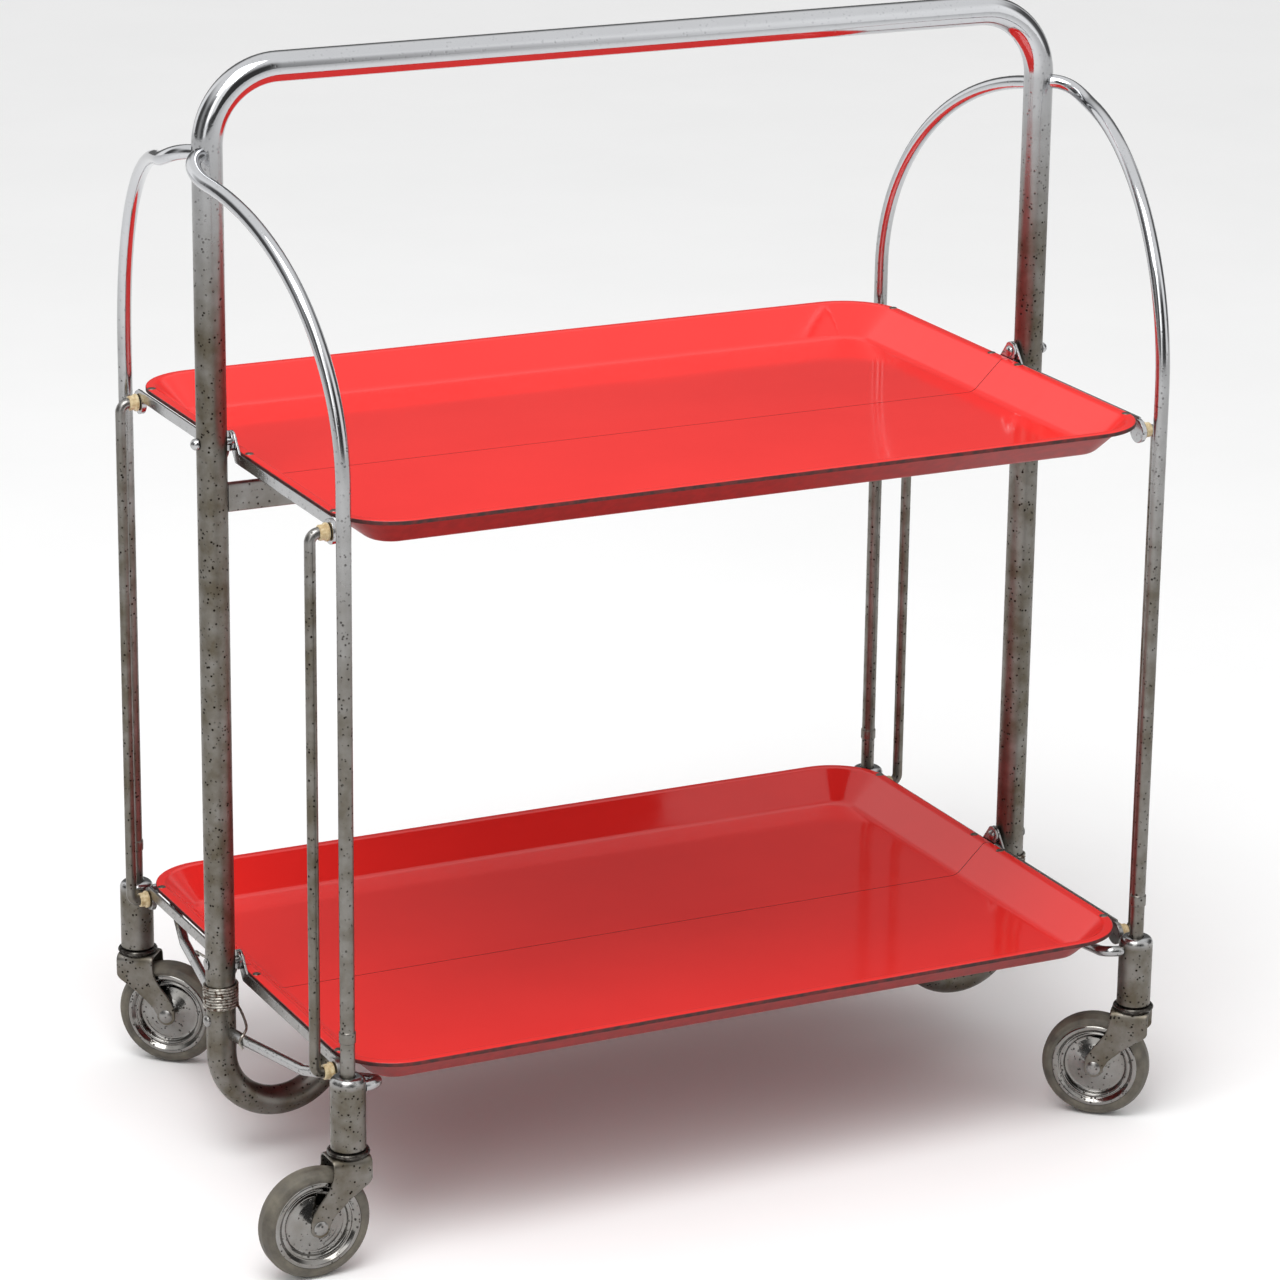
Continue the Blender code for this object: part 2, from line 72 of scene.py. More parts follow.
look_way = Vector((math.sin(LOOK_YAW) * math.cos(LOOK_PITCH), math.cos(LOOK_YAW) * math.cos(LOOK_PITCH),
                   math.sin(LOOK_PITCH)))
level_right = Vector((math.cos(LOOK_YAW), -math.sin(LOOK_YAW), 0.0))
level_up = level_right.cross(look_way)
right_way = level_right * math.cos(LOOK_ROLL) + level_up * math.sin(LOOK_ROLL)
up_way = level_up * math.cos(LOOK_ROLL) - level_right * math.sin(LOOK_ROLL)
camera_data = bpy.data.cameras.new("viewpoint")
camera_data.lens = LENS_MM
camera_data.sensor_width = 36.0
camera = bpy.data.objects.new("viewpoint", camera_data)
camera.matrix_world = Matrix.Translation(EYE) @ Matrix((right_way, up_way, -look_way)).transposed().to_4x4()
bpy.context.scene.collection.objects.link(camera)
bpy.context.scene.camera = camera


def node_of(material, kind, **settings):
    """One shader node with its plain settings."""
    node = material.node_tree.nodes.new(kind)
    for setting, value in settings.items():
        setattr(node, setting, value)
    return node


def join_sockets(material, source, target):
    """One link between two sockets."""
    material.node_tree.links.new(source, target)


def studio_sky():
    """Grey level = a ramp over the compass angle of the direction, washed out to white overhead."""
    world = bpy.data.worlds.new("studio_sky")
    world.use_nodes = True
    bpy.context.scene.world = world
    place = node_of(world, "ShaderNodeTexCoord")
    parts = node_of(world, "ShaderNodeSeparateXYZ")
    compass = node_of(world, "ShaderNodeMath", operation="ARCTAN2")
    turn = node_of(world, "ShaderNodeMapRange")
    turn.inputs["From Min"].default_value = -math.pi
    turn.inputs["From Max"].default_value = math.pi
    panels = node_of(world, "ShaderNodeValToRGB")
    stops = [(0.0, 0.50), (0.05, 0.10), (0.09, 0.12), (0.11, 1.6), (0.135, 1.6), (0.16, 0.11), (0.21, 0.09),
             (0.235, 0.06), (0.30, 0.06), (0.33, 1.3), (0.40, 1.5), (0.44, 0.15), (0.54, 0.10), (0.575, 0.9),
             (0.60, 0.16), (0.76, 0.16), (0.79, 1.2), (0.86, 1.4), (0.89, 0.10), (0.95, 0.10), (1.0, 0.50)]
    while len(panels.color_ramp.elements) < len(stops):
        panels.color_ramp.elements.new(0.5)
    for stop, (place_on_ramp, grey) in zip(panels.color_ramp.elements, stops):
        stop.position = place_on_ramp
        stop.color = (grey, grey, grey, 1.0)
    height = node_of(world, "ShaderNodeMapRange", interpolation_type="SMOOTHSTEP")
    height.inputs["From Min"].default_value = 0.42
    height.inputs["From Max"].default_value = 0.80
    wash = node_of(world, "ShaderNodeMix", data_type="RGBA")
    wash.inputs["B"].default_value = (1.15, 1.15, 1.15, 1.0)
    background = world.node_tree.nodes["Background"]
    background.inputs["Strength"].default_value = 0.95
    join_sockets(world, place.outputs["Generated"], parts.inputs[0])
    join_sockets(world, parts.outputs["Y"], compass.inputs[0])
    join_sockets(world, parts.outputs["X"], compass.inputs[1])
    join_sockets(world, compass.outputs[0], turn.inputs["Value"])
    join_sockets(world, turn.outputs["Result"], panels.inputs["Fac"])
    join_sockets(world, parts.outputs["Z"], height.inputs["Value"])
    join_sockets(world, height.outputs["Result"], wash.inputs["Factor"])
    join_sockets(world, panels.outputs["Color"], wash.inputs["A"])
    join_sockets(world, wash.outputs["Result"], background.inputs["Color"])


def soft_lamp(name, place, aim, size, watts):
    """A square area lamp at `place` that faces `aim`."""
    lamp_data = bpy.data.lights.new(name, "AREA")
    lamp_data.size = size
    lamp_data.energy = watts
    lamp = bpy.data.objects.new(name, lamp_data)
    lamp.location = place
    lamp.rotation_euler = (Vector(aim) - Vector(place)).to_track_quat("-Z", "Y").to_euler()
    bpy.context.scene.collection.objects.link(lamp)


studio_sky()
soft_lamp("lamp_high_left", (-0.9, -0.9, 2.6), (0.05, 0.1, 0.3), 1.6, 44.0)
soft_lamp("lamp_front", (-2.2, -3.0, 2.4), (0.0, 0.0, 0.4), 2.2, 17.0)
bpy.context.scene.view_settings.view_transform = "Standard"

# Floor: one wide sheet of matt, nearly white paper laid flat under the castors.
# Its two whites differ so little that they only keep it from looking like plastic.
FLOOR_HALF = 14.0


def principled(name, colour, metallic, roughness):
    """A Principled material, its shader node, and the Object coordinates its patterns read."""
    material = bpy.data.materials.new(name)
    material.use_nodes = True
    shader = material.node_tree.nodes["Principled BSDF"]
    shader.inputs["Base Color"].default_value = (*colour, 1.0)
    shader.inputs["Metallic"].default_value = metallic
    shader.inputs["Roughness"].default_value = roughness
    place = node_of(material, "ShaderNodeTexCoord")
    return material, shader, place


def noise_of(material, place, scale, detail=4.0, rough=0.55):
    """A noise pattern in Object coordinates; returns its value socket."""
    noise = node_of(material, "ShaderNodeTexNoise")
    noise.inputs["Scale"].default_value = scale
    noise.inputs["Detail"].default_value = detail
    noise.inputs["Roughness"].default_value = rough
    join_sockets(material, place.outputs["Object"], noise.inputs["Vector"])
    return noise.outputs["Fac"]


def remap(material, source, low, high, to_low=0.0, to_high=1.0):
    """The source's span low..high stretched to to_low..to_high and clamped."""
    stretch = node_of(material, "ShaderNodeMapRange")
    for socket, value in (("From Min", low), ("From Max", high), ("To Min", to_low), ("To Max", to_high)):
        stretch.inputs[socket].default_value = value
    join_sockets(material, source, stretch.inputs["Value"])
    return stretch.outputs["Result"]


def colour_between(material, share, first, second):
    """A colour that goes from first to second as share goes from 0 to 1; colours or sockets."""
    mix = node_of(material, "ShaderNodeMix", data_type="RGBA")
    join_sockets(material, share, mix.inputs["Factor"])
    for socket, colour in (("A", first), ("B", second)):
        if isinstance(colour, tuple):
            mix.inputs[socket].default_value = (*colour, 1.0)
        else:
            join_sockets(material, colour, mix.inputs[socket])
    return mix.outputs["Result"]


floor_paper, floor_shader, floor_place = principled("floor_paper", (0.93, 0.93, 0.93), 0.0, 0.85)
floor_grain = remap(floor_paper, noise_of(floor_paper, floor_place, 3.0), 0.3, 0.7)
join_sockets(floor_paper, colour_between(floor_paper, floor_grain, (0.92, 0.92, 0.92), (0.94, 0.94, 0.94)),
             floor_shader.inputs["Base Color"])
floor_mesh = bpy.data.meshes.new("floor")
floor_mesh.from_pydata([(-FLOOR_HALF, -FLOOR_HALF, 0), (FLOOR_HALF, -FLOOR_HALF, 0),
                        (FLOOR_HALF, FLOOR_HALF, 0), (-FLOOR_HALF, FLOOR_HALF, 0)], [], [(0, 1, 2, 3)])
floor_mesh.materials.append(floor_paper)
floor = bpy.data.objects.new("floor", floor_mesh)
bpy.context.scene.collection.objects.link(floor)

# Centre frame: one long chromed steel tube, bent into the carrying bar and hooked inboard at its feet.
# It is polished where hands hold it and pitted grey-brown lower down; the other pieces fix to it.
frame_low, frame_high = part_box("centre_frame")
TUBE_R = frame_high.y
BAR_BEND_R = 0.050
UPRIGHT_X = frame_high.x - TUBE_R
HOOK_R = 0.043
HOOK_LOW = frame_low.z + TUBE_R
HOOK_TIP = 0.012
BAR_Z = frame_high.z - TUBE_R
CHROME = (0.56, 0.57, 0.59)
DULL_CHROME = (0.112, 0.097, 0.072)
PIT_BROWN = (0.016, 0.012, 0.009)


def product(material, first, second):
    """The product of two value sockets."""
    times = node_of(material, "ShaderNodeMath", operation="MULTIPLY", use_clamp=True)
    join_sockets(material, first, times.inputs[0])
    join_sockets(material, second, times.inputs[1])
    return times.outputs[0]


def add_bump(material, shader, height, distance, strength):
    """Raise the surface by a value socket."""
    bump = node_of(material, "ShaderNodeBump")
    bump.inputs["Distance"].default_value = distance
    bump.inputs["Strength"].default_value = strength
    join_sockets(material, height, bump.inputs["Height"])
    join_sockets(material, bump.outputs["Normal"], shader.inputs["Normal"])


def worn_plating(name, worn_below, bright_above, wear=1.0, dull_rough=0.42):
    """Chrome whose wear mask = height ramp times wear; pits are where a fine noise is high."""
    material, shader, place = principled(name, CHROME, 1.0, 0.12)
    height = node_of(material, "ShaderNodeSeparateXYZ")
    join_sockets(material, place.outputs["Object"], height.inputs[0])
    ramp = remap(material, height.outputs["Z"], worn_below, bright_above, wear, 0.10 * wear)
    blotch = remap(material, noise_of(material, place, 60.0, 5.0), 0.32, 0.66, 0.80, 1.0)
    dullness = product(material, ramp, blotch)
    cells = node_of(material, "ShaderNodeTexVoronoi")
    cells.inputs["Scale"].default_value = 330.0
    join_sockets(material, place.outputs["Object"], cells.inputs["Vector"])
    specks = remap(material, cells.outputs["Distance"], 0.20, 0.34, 1.0, 0.0)
    patches = remap(material, noise_of(material, place, 210.0, 3.0), 0.46, 0.56)
    pits = product(material, product(material, specks, patches), ramp)
    plated = colour_between(material, dullness, CHROME, DULL_CHROME)
    join_sockets(material, colour_between(material, pits, plated, PIT_BROWN), shader.inputs["Base Color"])
    rough = node_of(material, "ShaderNodeMath", operation="MAXIMUM")
    join_sockets(material, remap(material, dullness, 0.0, 1.0, 0.05, dull_rough), rough.inputs[0])
    join_sockets(material, remap(material, pits, 0.0, 1.0, 0.0, 0.70), rough.inputs[1])
    join_sockets(material, rough.outputs[0], shader.inputs["Roughness"])
    add_bump(material, shader, remap(material, pits, 0.0, 1.0, 1.0, 0.0), 0.00025, 0.5)
    return material


def rounded_route(corners, bends, steps):
    """A route through corner points with each inner corner turned into an arc of its bend radius:
    point = centre + cos(angle) * start arm + sin(angle) * square arm."""
    corners = np.asarray(corners, float)
    route = [corners[:1]]
    for before, corner, after, bend in zip(corners, corners[1:], corners[2:], bends):
        back = (before - corner) / np.linalg.norm(before - corner)
        ahead = (after - corner) / np.linalg.norm(after - corner)
        half = math.acos(float(np.clip(back @ ahead, -1, 1))) / 2
        middle = (back + ahead) / np.linalg.norm(back + ahead)
        centre = corner + middle * bend / math.sin(half)
        start_arm = corner + back * bend / math.tan(half) - centre
        end_arm = corner + ahead * bend / math.tan(half) - centre
        square_arm = end_arm - start_arm * (end_arm @ start_arm) / bend**2
        square_arm *= bend / np.linalg.norm(square_arm)
        angle = np.linspace(0, math.pi - 2 * half, steps)[:, None]
        route.append(centre + np.cos(angle) * start_arm + np.sin(angle) * square_arm)
    route.append(corners[-1:])
    return np.concatenate(route)


def squared_off(wave, power):
    """A cosine or sine with its sign kept and its size raised to a power; small powers square a circle."""
    return np.sign(wave) * np.abs(wave) ** power


def carried_section(route, wide, thick, sides, square_to, squareness=2.0):
    """A section carried along a route: ring point = route + wide * c * across + thick * s * upright,
    where c and s are cosine and sine raised to 2/squareness (2 is round, 9 is nearly a rectangle)."""
    route = np.asarray(route, float)
    way = np.gradient(route, axis=0)
    way /= np.linalg.norm(way, axis=1, keepdims=True)
    across = np.cross(way, np.asarray(square_to, float))
    across /= np.linalg.norm(across, axis=1, keepdims=True)
    upright = np.cross(across, way)
    turn = np.linspace(0, 2 * math.pi, sides, endpoint=False)
    cosine = squared_off(np.cos(turn), 2 / squareness)
    sine = squared_off(np.sin(turn), 2 / squareness)
    wide = np.broadcast_to(np.asarray(wide, float), len(route))[:, None, None]
    thick = np.broadcast_to(np.asarray(thick, float), len(route))[:, None, None]
    return (route[:, None] + wide * cosine[None, :, None] * across[:, None]
            + thick * sine[None, :, None] * upright[:, None])


def skin(rows, wrap_rows=False):
    """Vertices and quads of a grid of rings; the ends are closed by flat caps unless the rows wrap."""
    count, sides = rows.shape[:2]
    index = np.arange(count * sides).reshape(count, sides)
    near = index if wrap_rows else index[:-1]
    far = np.roll(index, -1, 0) if wrap_rows else index[1:]
    quads = np.stack([near, np.roll(near, -1, 1), np.roll(far, -1, 1), far], axis=-1).reshape(-1, 4).tolist()
    caps = [] if wrap_rows else [index[0].tolist(), index[-1].tolist()]
    return rows.reshape(-1, 3), quads + caps


def add_piece(name, shape, material, body, sharp_angle=38.0):
    """Put vertices and faces into a mesh with outward faces, and fasten the piece to its body."""
    points, faces = shape
    mesh = bpy.data.meshes.new(name)
    mesh.from_pydata(points.tolist(), [], faces)
    tidy = bmesh.new()
    tidy.from_mesh(mesh)
    bmesh.ops.recalc_face_normals(tidy, faces=tidy.faces)
    tidy.to_mesh(mesh)
    tidy.free()
    mesh.shade_smooth()
    mesh.set_sharp_from_angle(angle=math.radians(sharp_angle))
    mesh.materials.append(material)
    piece = bpy.data.objects.new(name, mesh)
    bpy.context.scene.collection.objects.link(piece)
    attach(piece, body)
    return piece


frame_plating = worn_plating("frame_plating", 0.60, 0.75)
hook_x = UPRIGHT_X - 2 * HOOK_R
HOOK_SPARE = 0.00005
hook_bend = HOOK_R - HOOK_SPARE
hook_top = HOOK_LOW + HOOK_R + HOOK_TIP
frame_route = rounded_route(
    [(-hook_x, 0, hook_top), (-hook_x, 0, HOOK_LOW), (-UPRIGHT_X, 0, HOOK_LOW), (-UPRIGHT_X, 0, BAR_Z),
     (UPRIGHT_X, 0, BAR_Z), (UPRIGHT_X, 0, HOOK_LOW), (hook_x, 0, HOOK_LOW), (hook_x, 0, hook_top)],
    [hook_bend, hook_bend, BAR_BEND_R, BAR_BEND_R, hook_bend, hook_bend], 22)
frame_tube = add_piece("frame_tube", skin(carried_section(frame_route, TUBE_R, TUBE_R, 40, (0, 1, 0))),
                       frame_plating, "centre_frame")
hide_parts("centre_frame")

# Tube ends and cross bar: soft black plugs are pressed into the ends of both hooks. A flat steel bar,
# plated and now dull all over, stands on edge and ties the uprights under the upper tray.
SIDES = {"left": -1, "right": 1}
BAR_SQUARENESS = 9.0
plug_rubber, plug_shader, plug_place = principled("plug_rubber", (0.02, 0.02, 0.02), 0.0, 0.6)
join_sockets(plug_rubber, remap(plug_rubber, noise_of(plug_rubber, plug_place, 300.0), 0.3, 0.7, 0.5, 0.75),
             plug_shader.inputs["Roughness"])
for side in SIDES:
    frame["nodes"]["frame_plug_" + side].data.materials.clear()
    frame["nodes"]["frame_plug_" + side].data.materials.append(plug_rubber)
bar_plating = worn_plating("bar_plating", 0.90, 1.00, 0.85)
bar_low, bar_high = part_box("cross_bar")
bar_middle = (bar_low.z + bar_high.z) / 2
cross_bar = add_piece(
    "flat_cross_bar",
    skin(carried_section([(bar_low.x, 0, bar_middle), (0, 0, bar_middle), (bar_high.x, 0, bar_middle)],
                         bar_high.y, (bar_high.z - bar_low.z) / 2, 48, (0, 0, 1), BAR_SQUARENESS)),
    bar_plating, "centre_frame")
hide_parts("cross_bar")


# Trays: each half is pressed from one sheet of steel and stoved in glossy red enamel.
# It has a narrow rolled lip, a flat flange, sloping sides and a level deck cut straight at the seam.
TRAY_CORNER_R = 0.045
TRAY_DROP = 0.022
TRAY_SHEET = 0.0011
SEAM_HALF_GAP = 0.0003
# The next value is the share of painted shade laid over the whole under sheet of each tray, which darkens it
# to a deep red.
UNDERSIDE_PAINTED_SHADE = 0.74
ENAMEL_RED = (0.82, 0.028, 0.024)
ENAMEL_DEEP = (0.70, 0.018, 0.016)
# The next colour is painted shade for the outer face of the lip, broken up a little by a noise.
LIP_SHADE_COLOUR = (0.030, 0.010, 0.009)
LIP_DEPTH = 0.0030
SLOPE_START = 0.0062
SLOPE_END = 0.0290
DECK_EDGE = 0.0480
SMALLEST_CORNER_R = 0.006


def red_enamel():
    """Stoved enamel: red with faint cloudy shifts, hairline rubs, and painted shade from an attribute: dark
    on the outer lip face and deep red over the whole underside.
    """
    material, shader, place = principled("red_enamel", ENAMEL_RED, 0.0, 0.10)
    cloud = remap(material, noise_of(material, place, 5.0, 3.0), 0.35, 0.70, 0.0, 0.45)
    body_colour = colour_between(material, cloud, ENAMEL_RED, ENAMEL_DEEP)
    # This attribute carries painted shade. Where it is high the red is mixed towards the dark shade colour
    # and made rougher.
    lip_and_underside_shade = node_of(material, "ShaderNodeAttribute", attribute_name="lip_and_underside_shade")
    shade_mottle = remap(material, noise_of(material, place, 160.0, 4.0), 0.35, 0.60, 0.88, 1.0)
    shade_share = product(material, lip_and_underside_shade.outputs["Fac"], shade_mottle)
    shaded_colour = colour_between(material, shade_share, body_colour, LIP_SHADE_COLOUR)
    join_sockets(material, shaded_colour, shader.inputs["Base Color"])
    rubs = node_of(material, "ShaderNodeTexNoise")
    rubs.inputs["Scale"].default_value = 55.0
    rubs.inputs["Detail"].default_value = 6.0
    stretch = node_of(material, "ShaderNodeMapping")
    stretch.inputs["Scale"].default_value = (0.12, 2.6, 1.0)
    join_sockets(material, place.outputs["Object"], stretch.inputs["Vector"])
    join_sockets(material, stretch.outputs["Vector"], rubs.inputs["Vector"])
    roughest = node_of(material, "ShaderNodeMath", operation="MAXIMUM")
    join_sockets(material, remap(material, rubs.outputs["Fac"], 0.35, 0.75, 0.06, 0.16), roughest.inputs[0])
    join_sockets(material, remap(material, lip_and_underside_shade.outputs["Fac"], 0.0, 1.0, 0.0, 0.60), roughest.inputs[1])
    join_sockets(material, roughest.outputs[0], shader.inputs["Roughness"])
    shader.inputs["Specular IOR Level"].default_value = 0.42
    add_bump(material, shader, noise_of(material, place, 9.0, 2.0), 0.0010, 0.10)
    return material


def tray_outline(inset, half_length, half_depth, side_y):
    """Plan of the edge moved in by `inset`: short side, arc, long side, arc, short side, where an arc
    point = corner centre + radius * (cosine, sine) over a quarter turn."""
    inset = inset[:, None]
    length = half_length - inset
    depth = half_depth - inset
    radius = np.maximum(TRAY_CORNER_R - inset, SMALLEST_CORNER_R)
    along = np.linspace(0, 1, 9)[:-1][None]
    sweep = np.linspace(0, math.pi / 2, 17)[None]
    across = np.linspace(0, 1, 14)[1:-1][None]
    side_out = SEAM_HALF_GAP + (depth - radius - SEAM_HALF_GAP) * along
    left_x = np.broadcast_to(-length, side_out.shape)
    arc_x = -length + radius * (1 - np.cos(sweep))
    arc_out = depth - radius * (1 - np.sin(sweep))
    front_x = (length - radius) * (2 * across - 1)
    front_out = np.broadcast_to(depth, front_x.shape)
    x = np.concatenate([left_x, arc_x, front_x, -arc_x[:, ::-1], -left_x[:, ::-1]], axis=1)
    out = np.concatenate([side_out, arc_out, front_out, arc_out[:, ::-1], side_out[:, ::-1]], axis=1)
    return np.stack([x, side_y * out], axis=-1)


def tray_half_shape(half_length, half_depth, rim_z, side_y):
    """Top sheet = outline at each (inset, drop) of the profile; the under sheet is the profile set off
    by the sheet's thickness; walls close the lip and the seam."""
    profile = rounded_route([(0.0, -LIP_DEPTH, 0), (0.0, 0.0, 0), (SLOPE_START, 0.0, 0),
                             (SLOPE_END, -TRAY_DROP, 0), (DECK_EDGE, -TRAY_DROP, 0)],
                            [0.0011, 0.0040, 0.0100], 7)[:, :2]
    way = np.gradient(profile, axis=0)
    way /= np.linalg.norm(way, axis=1, keepdims=True)
    under_profile = profile + TRAY_SHEET * np.stack([way[:, 1], -way[:, 0]], axis=1)
    under_profile[:, 1] = np.minimum(under_profile[:, 1], profile[:, 1])
    sheets = []
    for sheet in (profile, under_profile):
        plan = tray_outline(sheet[:, 0], half_length, half_depth, side_y)
        level = np.broadcast_to((rim_z + sheet[:, 1])[:, None, None], plan.shape[:2] + (1,))
        sheets.append(np.concatenate([plan, level], axis=2))
    rows, columns = sheets[0].shape[:2]
    top = np.arange(rows * columns).reshape(rows, columns)
    under = top + rows * columns
    top_quads = np.stack([top[:-1, :-1], top[:-1, 1:], top[1:, 1:], top[1:, :-1]], axis=-1)
    under_quads = np.stack([under[:-1, :-1], under[1:, :-1], under[1:, 1:], under[:-1, 1:]], axis=-1)
    lip_quads = np.stack([top[0, :-1], under[0, :-1], under[0, 1:], top[0, 1:]], axis=-1)
    seam_quads = [np.stack([top[:-1, end], top[1:, end], under[1:, end], under[:-1, end]], axis=-1)
                  for end in (0, -1)]
    all_quads = (top_quads, under_quads, lip_quads, *seam_quads)
    faces = np.concatenate([quads.reshape(-1, 4) for quads in all_quads])
    deck = [top[-1].tolist(), under[-1].tolist(), [top[-1, 0], top[-1, -1], under[-1, -1], under[-1, 0]]]
    at_seam = np.zeros(len(faces) + 3, np.int32)
    at_seam[-3 - 2 * (rows - 1):-3] = 1
    at_seam[-1] = 1
    points = np.concatenate([sheet.reshape(-1, 3) for sheet in sheets])
    return points, faces.tolist() + deck, profile, at_seam


enamel = red_enamel()
# The seam walls inside the narrow gap between the two halves get a near-black material. This is painted
# shade in the gap, with a faint mottle from a noise.
seam_gap_shade, seam_shader, seam_place = principled("seam_gap_shade", (0.03, 0.012, 0.010), 0.0, 0.5)
seam_shade_mottle = remap(seam_gap_shade, noise_of(seam_gap_shade, seam_place, 150.0), 0.4, 0.6)
join_sockets(seam_gap_shade, colour_between(seam_gap_shade, seam_shade_mottle, (0.035, 0.010, 0.008), (0.015, 0.010, 0.009)),
             seam_shader.inputs["Base Color"])
for level in ("upper", "lower"):
    for half, side_y in (("front", -1), ("back", 1)):
        tray_node = f"{level}_tray_{half}"
        tray_low, tray_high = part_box(tray_node)
        half_depth = max(abs(tray_low.y), abs(tray_high.y))
        points, faces, profile, at_seam = tray_half_shape(tray_high.x, half_depth, tray_high.z, side_y)
        tray = add_piece(f"{level}_{half}_tray_half", (points, faces), enamel, f"{level}_half_{half}")
        tray.data.materials.append(seam_gap_shade)
        tray.data.polygons.foreach_set("material_index", at_seam)
        # Painted shade per point: full on the outer lip face, and a fixed share over the whole under sheet.
        shade_per_row = np.clip((-0.0001 - profile[:, 1]) / 0.0005, 0, 1) * (profile[:, 0] < 0.0006)
        shade_per_row = np.concatenate([shade_per_row, np.full(len(profile), UNDERSIDE_PAINTED_SHADE)])
        shade_per_point = np.repeat(shade_per_row, len(points) // len(shade_per_row))
        lip_and_underside_shade = tray.data.attributes.new("lip_and_underside_shade", "FLOAT", "POINT")
        lip_and_underside_shade.data.foreach_set("value", shade_per_point.astype(np.float32))
        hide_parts(tray_node)

# Tray rivets: each short flange is held down to its side rail by two plated steel rivets.
# Their low domed heads have gone dull, and they stand just proud of the enamel.
RIVET_HEAD_R = 0.0030
RIVET_HEAD_H = 0.0010
RIVET_PLACES = (0.0190, 0.1660)
RIVET_FROM_EDGE = 0.0034
RIVET_SUNK = 0.0002
RIVET_SKIRT = 0.0006


def turned_shape(profile, sides, place, axis, wrap=False):
    """A profile of (radius, way along) turned about an axis:
    point = place + way * axis + radius * (cos(turn) * u + sin(turn) * v)."""
    profile = np.asarray(profile, float)
    axis = np.asarray(axis, float) / np.linalg.norm(axis)
    u = np.cross(axis, (0.0, 0.0, 1.0) if abs(axis[2]) < 0.9 else (0.0, 1.0, 0.0))
    u /= np.linalg.norm(u)
    v = np.cross(axis, u)
    turn = np.linspace(0, 2 * math.pi, sides, endpoint=False)
    spokes = np.cos(turn)[:, None] * u + np.sin(turn)[:, None] * v
    radius = np.maximum(profile[:, 0], 0.0002)
    rows = np.asarray(place, float) + profile[:, 1][:, None, None] * axis + radius[:, None, None] * spokes
    return skin(rows, wrap)


def gather(shapes):
    """Several shapes as one: their vertices in a row, the faces moved up to match."""
    points = []
    faces = []
    for shape_points, shape_faces in shapes:
        shift = sum(len(block) for block in points)
        points.append(shape_points)
        faces += [[corner + shift for corner in face] for face in shape_faces]
    return np.concatenate(points), faces


def dome_profile(radius, height, foot, steps=9):
    """A dome: (radius * cosine, height * sine) from its edge to its crown, on a skirt from `foot`."""
    angle = np.linspace(0, math.pi / 2, steps)
    return np.concatenate([[(0.0, foot), (radius, foot)],
                           np.stack([radius * np.cos(angle), height * np.sin(angle)], axis=1)])


rivet_plating = worn_plating("rivet_plating", 0.90, 1.20)
bright_plating = worn_plating("bright_plating", 0.05, 0.80, 0.75)
for level in ("upper", "lower"):
    for half, side_y in (("front", -1), ("back", 1)):
        tray_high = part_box(f"{level}_tray_{half}")[1]
        rivet_x = tray_high.x - RIVET_FROM_EDGE
        rivet_z = tray_high.z - RIVET_SUNK
        heads = [turned_shape(dome_profile(RIVET_HEAD_R, RIVET_HEAD_H, -RIVET_SKIRT), 14,
                              (side_x * rivet_x, side_y * out, rivet_z), (0, 0, 1))
                 for side_x in (-1, 1) for out in RIVET_PLACES]
        add_piece(f"{level}_{half}_rivets", gather(heads), rivet_plating, f"{level}_half_{half}")

# Side rails: a chromed steel strip under each short flange, with a leaf at the centre for the hinge
# bolt and an ear at the outer end for the link rod. It is blanked, then tumbled to break its edges.
CORNERS = {"front_left": (-1, -1), "front_right": (1, -1), "back_left": (-1, 1), "back_right": (1, 1)}
hinge_low, hinge_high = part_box("upper_hinge_bolt_left")
PIVOT_ABOVE_RIM = (hinge_low.z + hinge_high.z) / 2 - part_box("upper_tray_front")[1].z
LEAF_R = 0.0070
EAR_R = 0.0085
EAR_DROP = 0.011
EAR_OUT = 0.174
STRIP_DROPS = (0.0015, 0.0090)
INNER_LEAF = (0.3004, 0.3021)
OUTER_LEAF = (0.3024, 0.3041)
OUTER_LEAF_CORNERS = ("back_left", "front_right")
EAR_FACES = (0.3004, 0.3041)


def blanked_plate(outs, lows, highs, inner, outer, side_x, side_y):
    """A plate in the side plane: at each way out the section runs from low to high and from the inner
    to the outer face, as a superellipse of power 10, so that its edges are only just broken."""
    turn = np.linspace(0, 2 * math.pi, 40, endpoint=False)
    cosine = squared_off(np.cos(turn), 0.2)
    sine = squared_off(np.sin(turn), 0.2)
    middle = (np.asarray(lows) + highs) / 2
    half = (np.asarray(highs) - lows) / 2
    x = side_x * ((inner + outer) / 2 + (outer - inner) / 2 * cosine)
    rows = np.stack(np.broadcast_arrays(x[None], side_y * np.asarray(outs)[:, None],
                                        middle[:, None] + half[:, None] * sine[None]), axis=-1)
    return skin(rows)


def disc_edges(outs, centre_out, centre_z, radius):
    """Low and high edge of a disc: centre height less and plus the root of (radius squared less the
    squared way from its centre), which is nothing beyond the disc."""
    half = np.sqrt(np.clip(radius**2 - (outs - centre_out) ** 2, 0, None))
    return centre_z - half, centre_z + half


